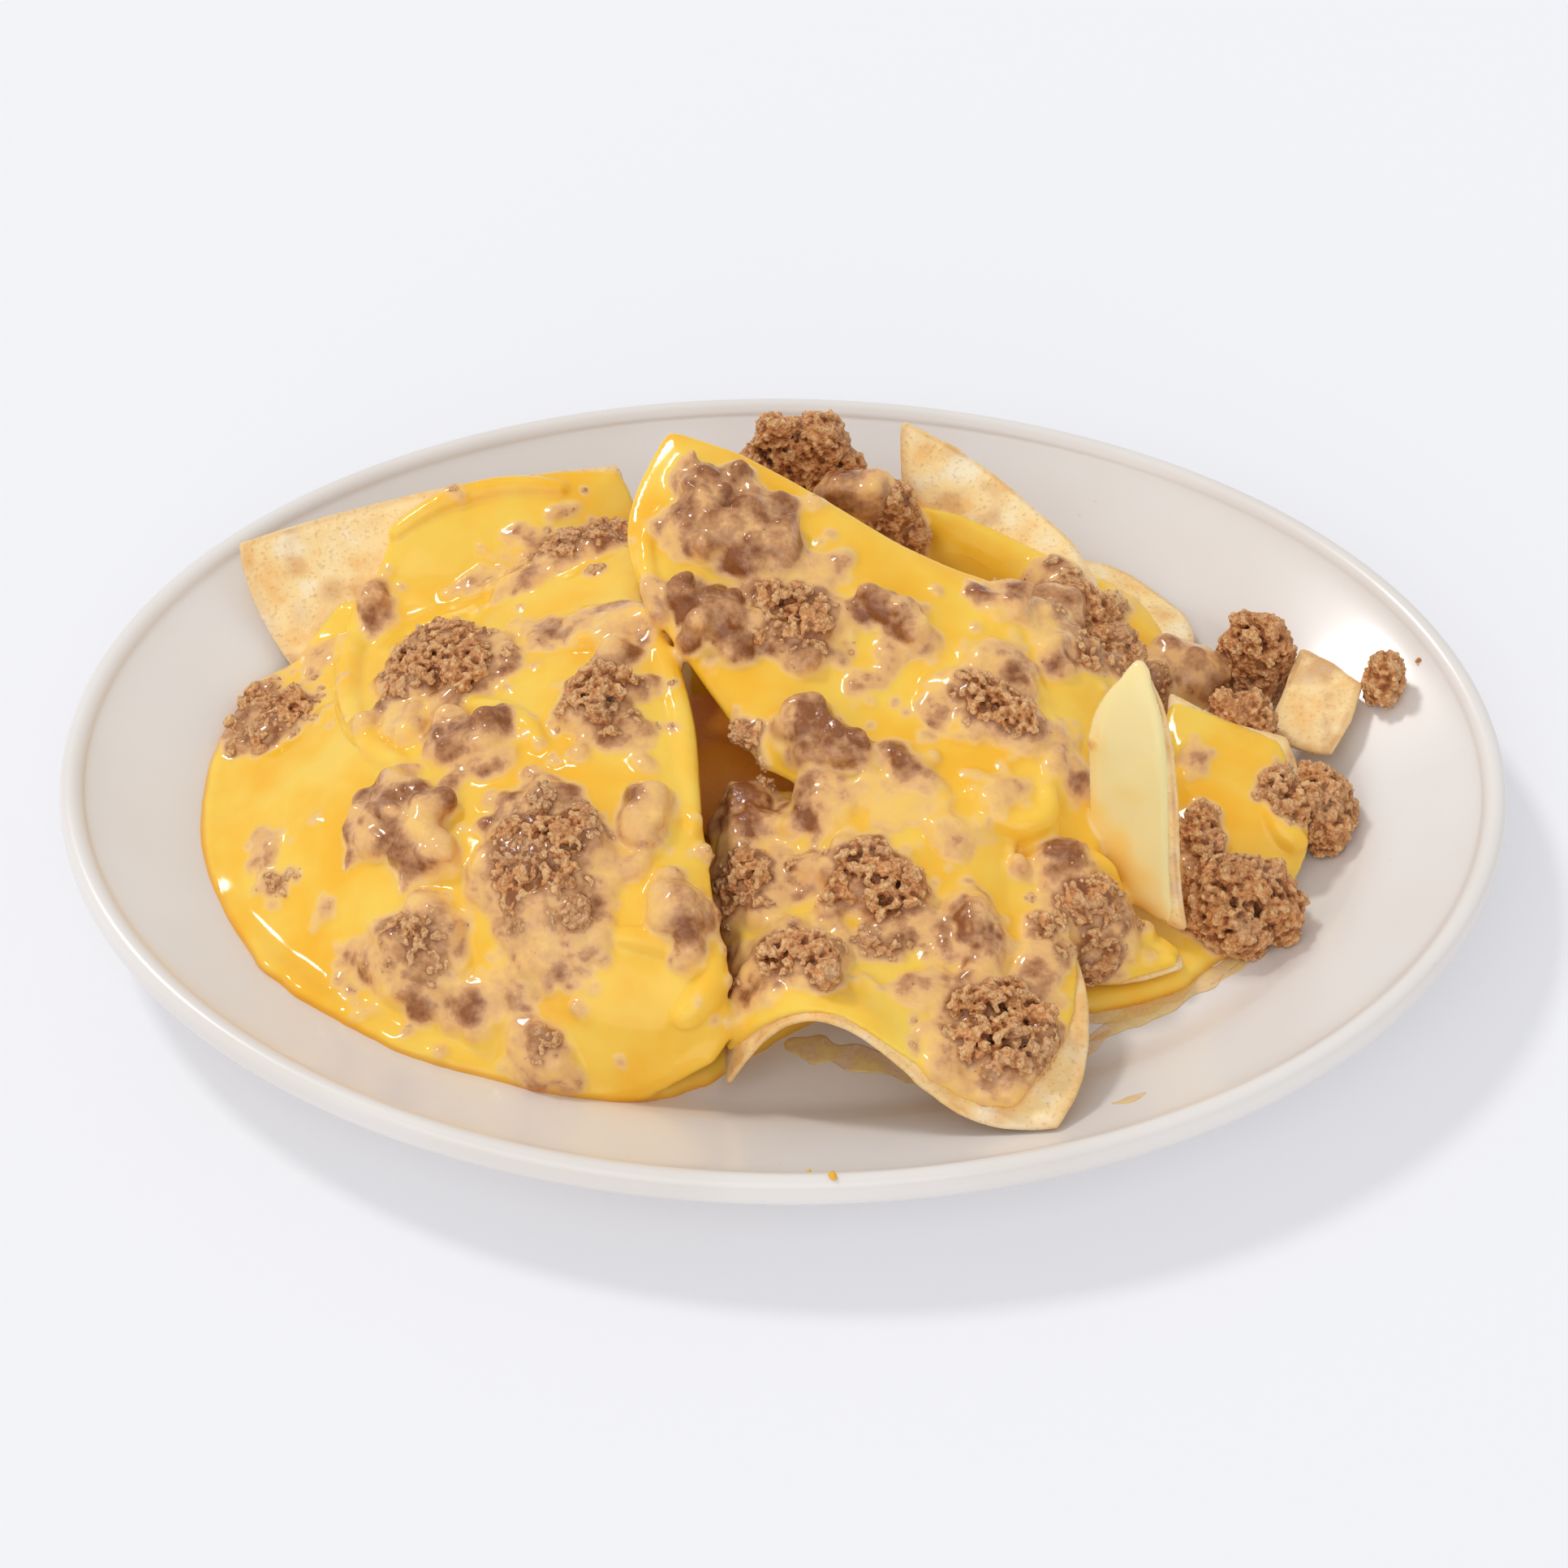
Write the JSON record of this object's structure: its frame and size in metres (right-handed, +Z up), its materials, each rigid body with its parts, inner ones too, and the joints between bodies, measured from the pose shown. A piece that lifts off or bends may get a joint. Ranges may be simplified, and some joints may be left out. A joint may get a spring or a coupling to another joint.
{
  "type": "nachos on a plate",
  "caption": "Oval rimmed stoneware plate of bent tortilla chips under poured yellow cheese sauce with clumps of ground beef.",
  "frame": {"origin": "under the middle of the plate, on the plane its foot ring stands on", "axes": "+X along the plate's long axis, +Z up, -Y towards the front of the dish"},
  "size_m": [0.304, 0.235, 0.0681],
  "materials": {
    "plate": "glossy warm off-white glaze",
    "chip": "dry, blistered, pale golden fried corn",
    "cheese": "smooth wet yellow sauce",
    "beef": "crumbly brown cooked mince, slightly oily"
  },
  "bodies": {
    "root": {"beef_back": "beef", "beef_back_inner": "beef", "beef_back_left": "beef", "beef_far_right": "beef", "beef_front_back": "beef", "beef_front_left": "beef", "beef_front_middle": "beef", "beef_front_right": "beef", "beef_front_side": "beef", "beef_front_top": "beef", "beef_gap_right": "beef", "beef_inner_right": "beef", "beef_left_bump": "beef", "beef_left_edge": "beef", "beef_left_front": "beef", "beef_left_knob": "beef", "beef_left_low": "beef", "beef_left_middle": "beef", "beef_left_mound": "beef", "beef_left_ridge": "beef", "beef_left_side": "beef", "beef_left_upper": "beef", "beef_right_edge": "beef", "beef_right_front": "beef", "beef_right_inner": "beef", "beef_rim_crumb": "beef", "beef_tall_back": "beef", "beef_tall_front": "beef", "beef_tall_left": "beef", "beef_tall_middle": "beef", "beef_tall_right": "beef", "beef_tall_small": "beef", "beef_tall_top": "beef", "cheese_back_left": "cheese", "cheese_back_right": "cheese", "cheese_centre": "cheese", "cheese_front": "cheese", "cheese_front_right": "cheese", "cheese_left": "cheese", "cheese_low_back": "cheese", "cheese_mid_right": "cheese", "cheese_pool": "cheese", "cheese_right": "cheese", "cheese_standing": "cheese", "chip_back_left": "chip", "chip_back_right": "chip", "chip_far_right": "chip", "chip_front": "chip", "chip_front_right": "chip", "chip_left": "chip", "chip_low_back": "chip", "chip_mid_right": "chip", "chip_right": "chip", "chip_standing": "chip", "chip_tall": "chip", "chip_under": "chip", "chip_under_back": "chip", "plate": "plate"}
  },
  "joints": []
}
